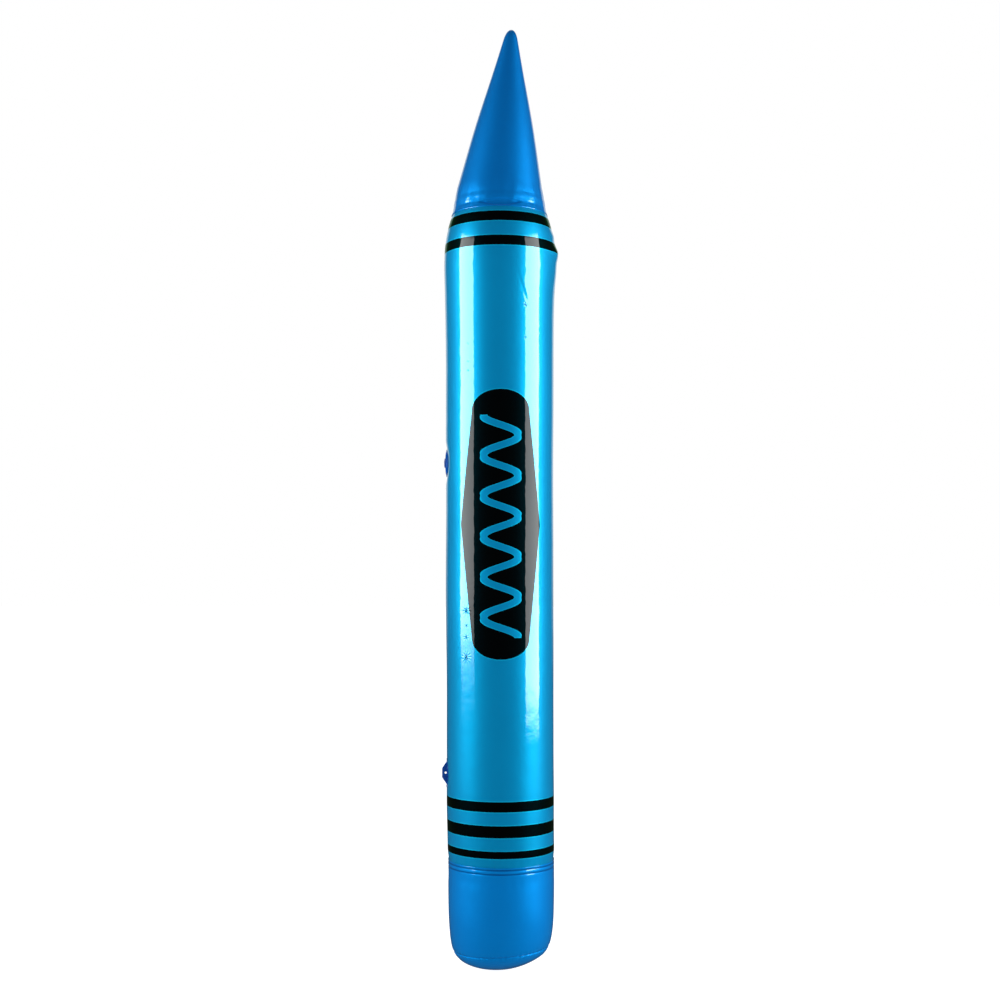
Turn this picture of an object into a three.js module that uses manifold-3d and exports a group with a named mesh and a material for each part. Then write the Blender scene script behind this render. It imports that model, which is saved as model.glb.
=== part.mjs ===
// An inflatable toy crayon, welded from soft PVC film: a printed body tube between a cone tip and a base
// cup closed by a disc, with a push-in inflation valve and a moulded hang tab on its left side.
// Millimetres, +Z up. The origin is on the floor, on the body tube's axis; the badge faces -Y, and the
// valve and the hang tab face -X.

import * as THREE from "three";
import { mergeVertices } from "three/addons/utils/BufferGeometryUtils.js";
import Module from "manifold-3d";

const wasm = await Module();
wasm.setup();

// Film
const FILM = 0.3; // thickness of every film section
const GAP = 0.3; // clearance between pieces that are welded or moulded together
const ROUND = 44; // flat sides around a film section

// Heights of the welded sections
const HEIGHT = 1089.5;
const TIP_LAP = [872, 884]; // the cone's skirt covers the body tube's upper edge here
const BASE_LAP = [113, 125]; // the base cup's rim covers the body tube's lower edge here
const FOOT_RADIUS = 12; // flat spot that the toy stands on
const DISC_SEAM = { radius: 55.4, z: 22.5 }; // the base disc is welded into the cup around this circle

// Body tube and shoulder
const BODY_RADIUS = 62.5;
const LOWER_RADIUS = 62; // the tube is slightly slimmer towards the base
const BULGE = 2.1; // how far the overfull shoulder swells past the tube
const BULGE_Z = 810;
const BULGE_FADE = 60; // length over which the swelling dies away downwards
const SHOULDER_ROUND = 2; // softens the corner between the tube and the cone's slope

// Cone tip
const CONE = { z: 904, radius: 49.2, slope: 0.2355 }; // radius at one height, and its change per mm down
const CONE_SWELL = { z: 975, height: 1.5, length: 55 }; // the air bows the slope out in its middle
const WELD_PINCH = 1.9; // the stiff weld draws the film in by this much
const NOSE = { radius: 9.6, z: 1074 }; // where the rounded nose starts
const LEAN = 0.0708; // the tip leans to +X by this much per mm above the lap

// Base
const BASE_PINCH = { depth: 1.2, from: 122, to: 138 }; // the cup's weld draws the tube in below here
const FOOT_OFFSET = -6; // the bottom dome sags towards -X
const SEAM_TILT = 0.057; // so its weld climbs towards +X by this much per mm

// Inflation valve
const VALVE = {
  z: 584.7,
  plane: 59.2, // distance of the flattened film from the toy's axis
  flangeRadius: 16,
  flangeEdge: 0.7, // thickness of the flange at its edge
  flangeRise: 3.1, // height of the domed flange's inner edge
  diaphragmRadius: 11,
  diaphragmThickness: 0.7,
  stemOuter: 4.8,
  stemInner: 3.5,
  stemLength: 12,
  rimRadius: 5.6,
  rimThickness: 0.8,
  capRadius: 5.9,
  capThickness: 1.1,
  hingeOffset: 7,
  strapWidth: 3.6,
  strapThickness: 0.9,
};

// Hang tab
const TAB = {
  z: 224.5,
  plane: 58.3,
  patchRadius: 17.2,
  patchThickness: 0.8,
  finLength: 32,
  finTop: 10,
  finHeight: 8.4,
  finThickness: 1.2,
  rootRadius: 0.6,
  holeRadius: 1.3,
  holeHeight: 3.9, // hole's centre above the patch
  eyeletRadius: 3,
  eyeletThickness: 1.8,
};

const SMALL_ROUND = 24; // flat sides on the small round pieces

const toy = new THREE.Group();

function add(parent, name, geometry, material) {
  const mesh = new THREE.Mesh(geometry, material);
  mesh.name = name;
  parent.add(mesh);
  return mesh;
}

function pvc(color, roughness, metalness = 0) {
  return new THREE.MeshStandardMaterial({ color, roughness, metalness });
}

const tintedFilm = pvc(0x0a5fae, 0.15);
const pearlFilm = pvc(0x0090c4, 0.25, 0.3);
const softMoulding = pvc(0x0a3f98, 0.35);

// ---------------------------------------------------------------- outline of the inflated skin

function softMin(a, b) {
  return -SHOULDER_ROUND * Math.log(Math.exp(-a / SHOULDER_ROUND) + Math.exp(-b / SHOULDER_ROUND));
}

function coneRadius(z) {
  const mid = (TIP_LAP[0] + TIP_LAP[1]) / 2;
  const pinch = WELD_PINCH * Math.exp(-(((z - mid) / 12) ** 2));
  const swell = CONE_SWELL.height * Math.exp(-(((z - CONE_SWELL.z) / CONE_SWELL.length) ** 2));
  return CONE.radius + CONE.slope * (CONE.z - z) - pinch + swell;
}

// Radius of the body tube's outer face: a straight tube that swells into the shoulder, cut off by the
// cone's slope above it and drawn in by the cup's weld below.
function bodyRadius(z) {
  const tube = THREE.MathUtils.lerp(LOWER_RADIUS, BODY_RADIUS, THREE.MathUtils.smoothstep(z, 300, 390));
  const swollen = tube + BULGE * Math.exp(Math.min(z - BULGE_Z, 0) / BULGE_FADE);
  const pinch = 1 - THREE.MathUtils.smoothstep(z, BASE_PINCH.from, BASE_PINCH.to);
  return softMin(coneRadius(z), swollen) - BASE_PINCH.depth * pinch;
}

// Radius of the cone's outer face: outside the body tube along the lap, then straight to the round nose.
function tipRadius(z) {
  if (z > NOSE.z) return NOSE.radius * Math.sqrt(Math.max(0, 1 - ((z - NOSE.z) / (HEIGHT - NOSE.z)) ** 2));
  const overLap = 1 - THREE.MathUtils.smoothstep(z, TIP_LAP[1] + 1, TIP_LAP[1] + 8);
  return coneRadius(z) + (GAP + FILM) * overLap;
}

function spread(from, to, steps) {
  return Array.from({ length: steps + 1 }, (_, i) => from + ((to - from) * i) / steps);
}

// Moves each point of an outline sideways by a distance, to the left of the way it runs.
function offset(points, distance) {
  return points.map((p, i) => {
    const before = points[Math.max(i - 1, 0)];
    const after = points[Math.min(i + 1, points.length - 1)];
    const way = new THREE.Vector2().subVectors(after, before).normalize();
    return new THREE.Vector2(p.x - way.y * distance, p.y + way.x * distance);
  });
}

// Spins an outline of (radius, height) points around Z.
function turned(points, sides) {
  return new THREE.LatheGeometry(points, sides).rotateX(Math.PI / 2);
}

// A film section between an outer outline, running upwards, and the same outline moved in by FILM.
function film(outer) {
  const inner = offset(outer, FILM).reverse();
  return turned([...outer, ...inner, outer[0]], ROUND);
}

// Moves every vertex with move(vertex).
function reshape(geometry, move) {
  const position = geometry.attributes.position;
  const vertex = new THREE.Vector3();
  for (let i = 0; i < position.count; i++) {
    vertex.fromBufferAttribute(position, i);
    move(vertex);
    position.setXYZ(i, vertex.x, vertex.y, vertex.z);
  }
  return geometry;
}

// ---------------------------------------------------------------- joining and cutting

function solid(geometry) {
  const bare = geometry.clone();
  bare.deleteAttribute("normal");
  bare.deleteAttribute("uv");
  const merged = mergeVertices(bare, 1e-4);
  return new wasm.Manifold(
    new wasm.Mesh({
      numProp: 3,
      vertProperties: merged.attributes.position.array,
      triVerts: new Uint32Array(merged.index.array),
    }),
  );
}

function geometryOf(manifold) {
  const { vertProperties, triVerts } = manifold.getMesh();
  const geometry = new THREE.BufferGeometry();
  geometry.setAttribute("position", new THREE.BufferAttribute(vertProperties, 3));
  geometry.setIndex(new THREE.BufferAttribute(triVerts, 1));
  return geometry;
}

// ---------------------------------------------------------------- film sections

// Crowds the tube's sides towards -X, where the valve and the hang tab flatten it.
function crowdToLeft(v) {
  const radius = Math.hypot(v.x, v.y);
  const angle = Math.atan2(v.y, v.x);
  const moved = angle + 0.5 * Math.sin(angle);
  v.x = radius * Math.cos(moved);
  v.y = radius * Math.sin(moved);
}

// Pulls the film flat behind a stiff round boss on the left side; it rises back to round around it.
function flattenBehind(v, boss, bossRadius) {
  if (v.x > 0) return;
  const away = Math.hypot(v.y, v.z - boss.z);
  const outer = Math.sqrt(Math.max(0, bodyRadius(v.z) ** 2 - v.y ** 2));
  const flat = boss.plane + 0.45 * Math.max(0, away - bossRadius - 3.5);
  v.x += Math.max(0, outer - flat);
}

function bodyTube() {
  const reach = 29; // half the height of the fine rows behind a boss
  const heights = [
    ...spread(BASE_LAP[0], BASE_PINCH.from, 1),
    ...spread(BASE_PINCH.from, BASE_PINCH.to, 2).slice(1),
    ...spread(BASE_PINCH.to, TAB.z - reach, 2).slice(1),
    ...spread(TAB.z - reach, TAB.z + reach, 10).slice(1),
    ...spread(TAB.z + reach, VALVE.z - reach, 4).slice(1),
    ...spread(VALVE.z - reach, VALVE.z + reach, 10).slice(1),
    ...spread(VALVE.z + reach, BULGE_Z - 60, 2).slice(1),
    ...spread(BULGE_Z - 60, TIP_LAP[0], 7).slice(1),
    ...spread(TIP_LAP[0], TIP_LAP[1], 3).slice(1),
  ];
  const outer = heights.map((z) => new THREE.Vector2(bodyRadius(z), z));
  const shell = reshape(film(outer), (v) => {
    crowdToLeft(v);
    flattenBehind(v, VALVE, VALVE.flangeRadius);
    flattenBehind(v, TAB, TAB.patchRadius);
  });
  const port = new THREE.CylinderGeometry(VALVE.diaphragmRadius, VALVE.diaphragmRadius, 20, SMALL_ROUND);
  port.rotateZ(Math.PI / 2).translate(-VALVE.plane, 0, VALVE.z);
  return geometryOf(solid(shell).subtract(solid(port)));
}

function tipCone() {
  const wall = [
    ...spread(TIP_LAP[0], TIP_LAP[1], 3),
    ...spread(TIP_LAP[1], TIP_LAP[1] + 8, 2).slice(1),
    ...spread(TIP_LAP[1] + 8, NOSE.z, 4).slice(1),
  ].map((z) => new THREE.Vector2(tipRadius(z), z));
  const nose = spread(0, Math.PI / 2, 5)
    .slice(1)
    .map((a) => new THREE.Vector2(NOSE.radius * Math.cos(a), NOSE.z + (HEIGHT - NOSE.z) * Math.sin(a)));
  nose.at(-1).x = 0;
  const outer = [...wall, ...nose];
  const inner = offset(outer, FILM).reverse();
  inner[0].set(0, HEIGHT - FILM);
  const profile = [...inner, ...outer];
  return reshape(turned(profile, ROUND), (v) => {
    v.x += LEAN * Math.max(0, v.z - CONE.z);
  });
}

// Outer face of the base disc, from the axis out to the edge that is tucked into the cup.
function discOutline() {
  const rise = new THREE.SplineCurve([
    new THREE.Vector2(FOOT_RADIUS, 0),
    new THREE.Vector2(26, 1.5),
    new THREE.Vector2(33.5, 4),
    new THREE.Vector2(41, 7.5),
    new THREE.Vector2(47.8, 12.2),
    new THREE.Vector2(52.4, 17),
    new THREE.Vector2(DISC_SEAM.radius, DISC_SEAM.z),
    new THREE.Vector2(56.4, 26),
  ]);
  return rise.getPoints(12);
}

// Shifts the dome's lowest stretch sideways and tilts its weld, and leaves the foot level.
function sag(v) {
  const low = 1 - THREE.MathUtils.smoothstep(v.z, 0, 15);
  const aboveFoot = THREE.MathUtils.smoothstep(v.z, 0, 14);
  const belowWall = 1 - THREE.MathUtils.smoothstep(v.z, DISC_SEAM.z, 61);
  v.z += SEAM_TILT * v.x * aboveFoot * belowWall;
  v.x += FOOT_OFFSET * low;
}

function baseDisc() {
  const outer = discOutline();
  const inner = offset(outer, FILM).reverse();
  const last = inner.at(-1);
  const profile = [new THREE.Vector2(0, 0), ...outer, ...inner, new THREE.Vector2(0, last.y)];
  return reshape(turned(profile, ROUND), sag);
}

function baseCup() {
  const tucked = offset(discOutline().slice(-3), -(FILM + GAP));
  const wall = new THREE.SplineCurve([
    tucked.at(-1),
    new THREE.Vector2(58.2, 31),
    new THREE.Vector2(60, 42),
    new THREE.Vector2(61.3, 62),
    new THREE.Vector2(61.6, 88),
    new THREE.Vector2(bodyRadius(BASE_LAP[0]) + FILM + GAP + 0.1, BASE_LAP[0] - 1),
    new THREE.Vector2(bodyRadius(BASE_LAP[1]) + FILM + GAP + 0.1, BASE_LAP[1]),
  ]);
  return reshape(film([...tucked, ...wall.getPoints(11).slice(1)]), sag);
}

add(toy, "tip_cone", tipCone(), tintedFilm);
add(toy, "body_tube", bodyTube(), pearlFilm);
add(toy, "base_cup", baseCup(), tintedFilm);
add(toy, "base_disc", baseDisc(), tintedFilm);

// ---------------------------------------------------------------- inflation valve
// Every piece is built around Z, with z = 0 on the film's flattened outer face.

// A group standing out of the toy's left side: its Z points to -X, its Y up and its X to the front.
function standOutLeft(boss) {
  const group = new THREE.Group();
  const front = new THREE.Vector3(0, -1, 0);
  const up = new THREE.Vector3(0, 0, 1);
  const out = new THREE.Vector3(-1, 0, 0);
  group.quaternion.setFromRotationMatrix(new THREE.Matrix4().makeBasis(front, up, out));
  group.position.set(-boss.plane, 0, boss.z);
  toy.add(group);
  return group;
}

const valve = standOutLeft(VALVE);

const RIM_TOP = VALVE.flangeRise + 0.5 + VALVE.rimThickness; // the stem is pushed in to here

// Domed ring that is welded over the film's port by its edge.
function flange() {
  const inner = VALVE.diaphragmRadius;
  const outer = VALVE.flangeRadius;
  const rise = VALVE.flangeRise;
  const profile = [
    new THREE.Vector2(inner, rise - VALVE.diaphragmThickness),
    new THREE.Vector2(inner + 2.3, rise - 1.7),
    new THREE.Vector2(outer - 1.4, GAP),
    new THREE.Vector2(outer, GAP),
    new THREE.Vector2(outer, GAP + VALVE.flangeEdge),
    new THREE.Vector2(inner + 2.7, rise - 1),
    new THREE.Vector2(inner, rise),
  ];
  return turned([...profile, profile[0]], SMALL_ROUND);
}

// Thin skin that joins the flange to the stem and rolls in and out with it.
function diaphragm() {
  const outer = VALVE.diaphragmRadius - GAP;
  const inner = VALVE.stemOuter + GAP;
  const rise = VALVE.flangeRise;
  const profile = [
    new THREE.Vector2(inner, rise + 0.2 - VALVE.diaphragmThickness),
    new THREE.Vector2(outer, rise - VALVE.diaphragmThickness),
    new THREE.Vector2(outer, rise),
    new THREE.Vector2(inner, rise + 0.2),
  ];
  return turned([...profile, profile[0]], SMALL_ROUND);
}

// Tube with a rim at its outer end.
function stem() {
  const bottom = RIM_TOP - VALVE.stemLength;
  const profile = [
    new THREE.Vector2(VALVE.stemInner, bottom),
    new THREE.Vector2(VALVE.stemOuter, bottom),
    new THREE.Vector2(VALVE.stemOuter, RIM_TOP - VALVE.rimThickness),
    new THREE.Vector2(VALVE.rimRadius, RIM_TOP - VALVE.rimThickness),
    new THREE.Vector2(VALVE.rimRadius, RIM_TOP),
    new THREE.Vector2(VALVE.stemInner, RIM_TOP),
    new THREE.Vector2(VALVE.stemInner, bottom),
  ];
  return turned(profile, SMALL_ROUND);
}

// Round flap that hangs behind the stem's inner end and keeps the air in.
function checkFlap() {
  const top = RIM_TOP - VALVE.stemLength - GAP;
  const plate = new THREE.CylinderGeometry(VALVE.stemOuter, VALVE.stemOuter, 0.8, SMALL_ROUND);
  return plate.rotateX(Math.PI / 2).translate(0, 0, top - 0.4);
}

// Domed cap on a tapered shank. The shank narrows enough to swing out of the stem on the strap.
function plug() {
  const under = RIM_TOP + GAP;
  const profile = [
    new THREE.Vector2(0, under - 4.2),
    new THREE.Vector2(2.1, under - 4.2),
    new THREE.Vector2(3.05, under - 1.2),
    new THREE.Vector2(3.1, under),
    new THREE.Vector2(VALVE.capRadius, under),
    new THREE.Vector2(VALVE.capRadius, under + 0.4),
    new THREE.Vector2(VALVE.capRadius - 0.7, under + 0.85),
    new THREE.Vector2(VALVE.capRadius - 2.6, under + VALVE.capThickness),
    new THREE.Vector2(0, under + VALVE.capThickness),
  ];
  return turned(profile, SMALL_ROUND);
}

// Short band moulded to the stem's rim, looping up beside the cap, which it holds by its edge.
function strap() {
  const start = VALVE.rimRadius + GAP;
  const reach = VALVE.hingeOffset + 0.9;
  const low = RIM_TOP - VALVE.rimThickness;
  const t = VALVE.strapThickness;
  const band = new THREE.Shape();
  band.moveTo(start, low);
  band.lineTo(reach, low);
  band.absarc(reach, low + t, t, -Math.PI / 2, 0);
  band.lineTo(reach + t, RIM_TOP + GAP);
  band.lineTo(reach, RIM_TOP + GAP);
  band.lineTo(reach - 0.2, low + t);
  band.lineTo(start, low + t);
  band.closePath();
  const geometry = new THREE.ExtrudeGeometry(band, {
    depth: VALVE.strapWidth,
    bevelEnabled: false,
    curveSegments: 4,
  });
  return geometry.rotateX(Math.PI / 2).translate(0, VALVE.strapWidth / 2, 0).rotateZ(Math.PI);
}

add(valve, "valve_flange", flange(), softMoulding);
add(valve, "valve_diaphragm", diaphragm(), softMoulding);
add(valve, "valve_stem", stem(), softMoulding);
add(valve, "valve_check_flap", checkFlap(), softMoulding);
add(valve, "valve_plug", plug(), softMoulding);
add(valve, "plug_strap", strap(), softMoulding);

// ---------------------------------------------------------------- hang tab
// Built like the valve, with z = 0 on the film's flattened outer face and the fin along Y.

const tab = standOutLeft(TAB);

const PATCH_TOP = GAP + TAB.patchThickness;
const TAB_PIVOT = PATCH_TOP + GAP + TAB.rootRadius;

function patch() {
  const disc = new THREE.CylinderGeometry(TAB.patchRadius, TAB.patchRadius, TAB.patchThickness, SMALL_ROUND);
  return disc.rotateX(Math.PI / 2).translate(0, 0, (GAP + PATCH_TOP) / 2);
}

// Fin that stands on the patch, with flared ends and a hole for a hanging cord inside a raised eyelet.
function fin() {
  const half = TAB.finLength / 2;
  const halfTop = TAB.finTop / 2;
  const top = PATCH_TOP + TAB.finHeight;
  const blade = new THREE.Shape();
  blade.moveTo(-half, TAB_PIVOT);
  blade.lineTo(half, TAB_PIVOT);
  blade.quadraticCurveTo(half - 3.5, TAB_PIVOT + 2.7, halfTop + 2.2, top - 1.4);
  blade.quadraticCurveTo(halfTop + 1, top, halfTop - 1, top);
  blade.lineTo(-halfTop + 1, top);
  blade.quadraticCurveTo(-halfTop - 1, top, -halfTop - 2.2, top - 1.4);
  blade.quadraticCurveTo(-half + 3.5, TAB_PIVOT + 2.7, -half, TAB_PIVOT);
  const plate = new THREE.ExtrudeGeometry(blade, {
    depth: TAB.finThickness,
    bevelEnabled: false,
    curveSegments: 5,
  }).translate(0, 0, -TAB.finThickness / 2);
  const root = new THREE.CylinderGeometry(TAB.rootRadius, TAB.rootRadius, TAB.finLength, 16);
  root.rotateZ(Math.PI / 2).translate(0, TAB_PIVOT, 0);
  const across = (radius, length) =>
    new THREE.CylinderGeometry(radius, radius, length, SMALL_ROUND)
      .rotateX(Math.PI / 2)
      .translate(0, PATCH_TOP + TAB.holeHeight, 0);
  const body = solid(plate)
    .add(solid(root))
    .add(solid(across(TAB.eyeletRadius, TAB.eyeletThickness)))
    .subtract(solid(across(TAB.holeRadius, TAB.eyeletThickness + 2)));
  return geometryOf(body).rotateX(Math.PI / 2).rotateZ(Math.PI / 2);
}

add(tab, "hang_tab_patch", patch(), softMoulding);
add(tab, "hang_tab", fin(), softMoulding);

export default toy;
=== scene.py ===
import math

import bmesh
import bpy
import numpy as np
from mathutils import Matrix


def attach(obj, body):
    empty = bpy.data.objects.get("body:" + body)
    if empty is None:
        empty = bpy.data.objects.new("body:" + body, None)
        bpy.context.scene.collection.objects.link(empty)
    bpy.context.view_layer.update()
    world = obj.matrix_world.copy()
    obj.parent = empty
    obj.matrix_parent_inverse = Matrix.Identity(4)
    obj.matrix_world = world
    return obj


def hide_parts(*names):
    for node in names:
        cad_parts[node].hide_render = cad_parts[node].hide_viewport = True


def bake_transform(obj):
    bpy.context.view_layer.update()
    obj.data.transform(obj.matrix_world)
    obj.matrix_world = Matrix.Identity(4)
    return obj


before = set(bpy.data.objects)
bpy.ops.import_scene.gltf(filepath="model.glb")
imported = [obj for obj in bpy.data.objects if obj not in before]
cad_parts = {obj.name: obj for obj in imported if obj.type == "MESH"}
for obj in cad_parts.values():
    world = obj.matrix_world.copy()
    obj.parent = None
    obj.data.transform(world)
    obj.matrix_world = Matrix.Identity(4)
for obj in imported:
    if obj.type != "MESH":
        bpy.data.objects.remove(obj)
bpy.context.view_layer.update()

# An inflatable toy crayon, welded from soft vinyl film. Sizes are millimetres; surface() turns them into
# metres. Azimuth is 0 at the badge, on the -Y side, and grows towards +X.

# ------------------------------------------------------------------------------------------------ camera
# The toy is seen level from in front, from a little below its middle; the lens is shifted up to centre it.

EYE = (0.0, -1.786, 0.471)
SHIFT_UP = 0.061
LENS = 55.2

camera = bpy.data.objects.new("camera", bpy.data.cameras.new("camera"))
bpy.context.collection.objects.link(camera)
camera.location = EYE
camera.rotation_euler = (math.radians(90), 0, 0)
camera.data.lens = LENS
camera.data.shift_y = SHIFT_UP
camera.data.sensor_width = 36
camera.data.clip_end = 60
bpy.context.scene.camera = camera

# --------------------------------------------------------------------------------------------- body tube
# The long middle section: one sheet of pearly turquoise vinyl, 0.3 mm thick, printed in black, rolled into a
# tube and welded down the back with a lap. Air swells it into a tight tube with a fuller shoulder.

FILM = 0.3
BODY_TOP = 884
BODY_FOOT = 119
LOWER_RADIUS = 62.0
UPPER_RADIUS = 62.5
SWELLING = {"height": 2.1, "z": 810, "fade": 60}  # the overfull shoulder
LOW_SWELLING = {"height": 0.5, "z": 195, "half": 35}
TAPER = (300, 390)  # where the tube narrows from its upper to its lower radius
CONE_SLOPE = {"radius": 49.2, "z": 904, "per_mm": 0.2355}
CONE_SWELLING = {"height": 1.5, "z": 975, "half": 55}
TIP_WELD = {"pinch": 1.9, "z": 878, "half": 12}
SHOULDER_ROUND = 2
CUP_PINCH = {"depth": 1.3, "from": 122, "to": 138}
BACK_LAP = {"half": 4.0, "rise": 0.3, "edge": 1.2}
SHOULDER_FOLD = {"azimuth": math.radians(84), "spread": math.radians(17)}
FOLD_RIDGES = [(3.0, 827.5, 8.5), (1.6, 812.0, 22.0), (1.0, 847.0, 5.0)]  # height, z, half-width
VALVE_HEIGHT = 584.7
TAB_HEIGHT = 224.5
VALVE_DISH = {"z": VALVE_HEIGHT, "depth": 1.4, "flat": 15.0, "radius": 28.0}
TAB_DISH = {"z": TAB_HEIGHT, "depth": 3.2, "flat": 4.0, "radius": 19.0}
PORT = {"z": VALVE_HEIGHT, "radius": 12.0}
BANDS = [(854.8, 866.4), (826.6, 837.8), (188.2, 199.7), (159.1, 172.7), (135.6, 143.9)]
BADGE = {"arc": 1.0, "z": 512.3, "widest": 50.0, "shoulder": 34.0, "straight": 129.4, "cap": 22.9}
WAVE = {"z": 510.0, "amplitude": 19.5, "reach": 125.7, "turns": 5.5, "half_stroke": 4.2}
PRINT_MARGIN = 1.1  # width of the clear line left round each black print


def surface(name, x, y, z, around=True, along=False):
    """A mesh of four-sided faces through a grid of points in mm: rows run along the profile and columns run
    around, each joined back to its start if asked. Equal points at a pole are merged into one."""
    rows, columns = x.shape
    points = np.stack([x, y, z], axis=-1).reshape(-1, 3) / 1000
    r = np.arange(rows if along else rows - 1)[:, None]
    c = np.arange(columns if around else columns - 1)[None, :]
    r_next = (r + 1) % rows
    c_next = (c + 1) % columns
    corners = [r * columns + c, r * columns + c_next, r_next * columns + c_next, r_next * columns + c]
    quads = np.stack(corners, axis=-1).reshape(-1, 4)
    mesh = bpy.data.meshes.new(name)
    mesh.from_pydata(points.tolist(), [], quads.tolist())
    tidy = bmesh.new()
    tidy.from_mesh(mesh)
    bmesh.ops.remove_doubles(tidy, verts=tidy.verts, dist=2e-6)
    bmesh.ops.recalc_face_normals(tidy, faces=tidy.faces)
    tidy.to_mesh(mesh)
    tidy.free()
    mesh.shade_smooth()
    piece = bpy.data.objects.new(name, mesh)
    bpy.context.collection.objects.link(piece)
    return piece


def smoothstep(value, low, high):
    """0 below low, 1 above high, and a smooth cubic rise between them."""
    t = np.clip((value - low) / (high - low), 0, 1)
    return t * t * (3 - 2 * t)


def hump(value, centre, width):
    """A bell curve of height 1."""
    return np.exp(-(((value - centre) / width) ** 2))


def cone_radius(z):
    """The cone's slope, bowed out in its middle and drawn in where it is welded to the body."""
    slope = CONE_SLOPE["radius"] + CONE_SLOPE["per_mm"] * (CONE_SLOPE["z"] - z)
    swelling = CONE_SWELLING["height"] * hump(z, CONE_SWELLING["z"], CONE_SWELLING["half"])
    return slope + swelling - TIP_WELD["pinch"] * hump(z, TIP_WELD["z"], TIP_WELD["half"])


def body_radius(z):
    """A tube that swells exponentially towards the shoulder. The cone's slope cuts it off in a soft corner of
    2 mm, and the cup's weld draws in its lower end."""
    tube = LOWER_RADIUS + (UPPER_RADIUS - LOWER_RADIUS) * smoothstep(z, *TAPER)
    tube = tube + LOW_SWELLING["height"] * hump(z, LOW_SWELLING["z"], LOW_SWELLING["half"])
    swollen = tube + SWELLING["height"] * np.exp(np.minimum(z - SWELLING["z"], 0) / SWELLING["fade"])
    k = SHOULDER_ROUND
    corner = -k * np.log(np.exp(-cone_radius(z) / k) + np.exp(-swollen / k))
    return corner - CUP_PINCH["depth"] * (1 - smoothstep(z, CUP_PINCH["from"], CUP_PINCH["to"]))


def bow(z):
    """How far the toy's middle line lies to +X: it stands slightly bowed, with its foot to the right."""
    return 1.4 - 1.0 * smoothstep(z, 110, 190) - 0.9 * smoothstep(z, 240, 500)


def ripple(azimuth, orders, seed):
    """Cosines around the toy with the given numbers of waves and fixed random phases, between -1 and 1."""
    phases = np.random.default_rng(seed).uniform(0, 2 * math.pi, len(orders))
    return sum(np.cos(n * azimuth + p) for n, p in zip(orders, phases)) / len(orders)


def tip_weld_dent(azimuth, z):
    """How far the stiff tip weld buckles inwards: a lens-shaped hollow with crisp rims at the front, two short
    dents beside it, and small puckers round the rest."""
    arc = azimuth * 52
    half_height = 4.2 * (1 - ((arc - 1) / 25) ** 2)
    lens = 1.9 * smoothstep(half_height - np.abs(z - 877.5 - 0.002 * arc**2), -0.7, 1.5)
    sides = 0.3 * (hump(arc, -40, 9) + hump(arc, 38, 7)) * hump(z, 879, 1.6)
    puckers = 0.35 * ripple(azimuth, (13, 21, 34), 4) * hump(z, 879, 6)
    return lens + sides + puckers


def wrapped(azimuth):
    """The azimuth brought between -pi and pi."""
    return (azimuth + math.pi) % (2 * math.pi) - math.pi


def body_wall(azimuth, z):
    """Radius of the film: the tube's outline, less the weld's dents, with slow waves of the stretched film, a
    fold at the right of the shoulder, a long slanting crease at the front and the lap down the back."""
    side = wrapped(azimuth)
    radius = body_radius(z) - tip_weld_dent(side, z)
    radius = radius + 0.18 * np.cos(3 * azimuth + z / 61) * np.cos(z / 47 + 1)
    radius = radius + 0.12 * np.cos(z / 29 + 2 * azimuth)
    fold = sum(height * hump(z, middle, width) for height, middle, width in FOLD_RIDGES)
    radius = radius + fold * hump(side, SHOULDER_FOLD["azimuth"], SHOULDER_FOLD["spread"])
    arc = side * UPPER_RADIUS
    slant = (arc - 27) * 0.94 + (z - 778) * 0.35
    along = (z - 778) * 0.94 - (arc - 27) * 0.35
    radius = radius + (0.08 * hump(slant, 3.0, 1.5) - 0.14 * hump(slant, 0, 1.2)) * hump(along, 0, 18)
    radius = radius - 0.05 * hump(z, 545, 1.6) * hump(side, 0, 1.0)
    radius = radius - 0.1 * hump(z, 131, 6) * (1 + ripple(azimuth, (19, 31, 44), 9))
    from_lap = np.abs(wrapped(azimuth - math.pi)) * UPPER_RADIUS
    lap = 1 - smoothstep(from_lap, BACK_LAP["half"], BACK_LAP["half"] + BACK_LAP["edge"])
    return radius + BACK_LAP["rise"] * lap


def dished(y, z):
    """How deep the film on the left side is pressed in under the two stiff mouldings: shallow round dishes, flat
    in the middle, that rise to their rims in a smooth cubic."""
    depth = 0
    for dish in (VALVE_DISH, TAB_DISH):
        away = np.hypot(y, z - dish["z"])
        depth = depth + dish["depth"] * (1 - smoothstep(away, dish["flat"], dish["radius"]))
    return depth


def placed(radius, azimuth):
    """(x, y) of a point at that radius and azimuth."""
    return radius * np.sin(azimuth), -radius * np.cos(azimuth)


# More columns at the front, and more rows at the shoulder; the inner wall needs few rows.
steps_round = np.linspace(0, 2 * math.pi, 240, endpoint=False)
azimuth_round = (steps_round - 0.35 * np.sin(steps_round))[None, :]
outer_rows = np.concatenate([np.linspace(BODY_FOOT, 700, 205), np.linspace(700, BODY_TOP, 142)[1:]])
inner_stops = [(BODY_TOP, 850, 18), (850, 250, 26), (250, 200, 14), (200, BODY_FOOT, 7)]
inner_rows = np.concatenate([np.linspace(*stop) for stop in inner_stops])
away_from_ends = smoothstep(inner_rows, BODY_FOOT, 160) * (1 - smoothstep(inner_rows, 840, BODY_TOP))
inner_inset = FILM + 0.9 * away_from_ends
body_rows = np.concatenate([outer_rows, inner_rows])[:, None]
body_inset = np.concatenate([np.zeros(len(outer_rows)), inner_inset])[:, None]
body_x, body_y = placed(body_wall(azimuth_round, body_rows) - body_inset, azimuth_round)
body_z = body_rows + 0 * azimuth_round
body_x = body_x + dished(body_y, body_z) * (body_x < 0) + bow(body_z)
body_tube = surface("body_film", body_x, body_y, body_z, along=True)


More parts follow.
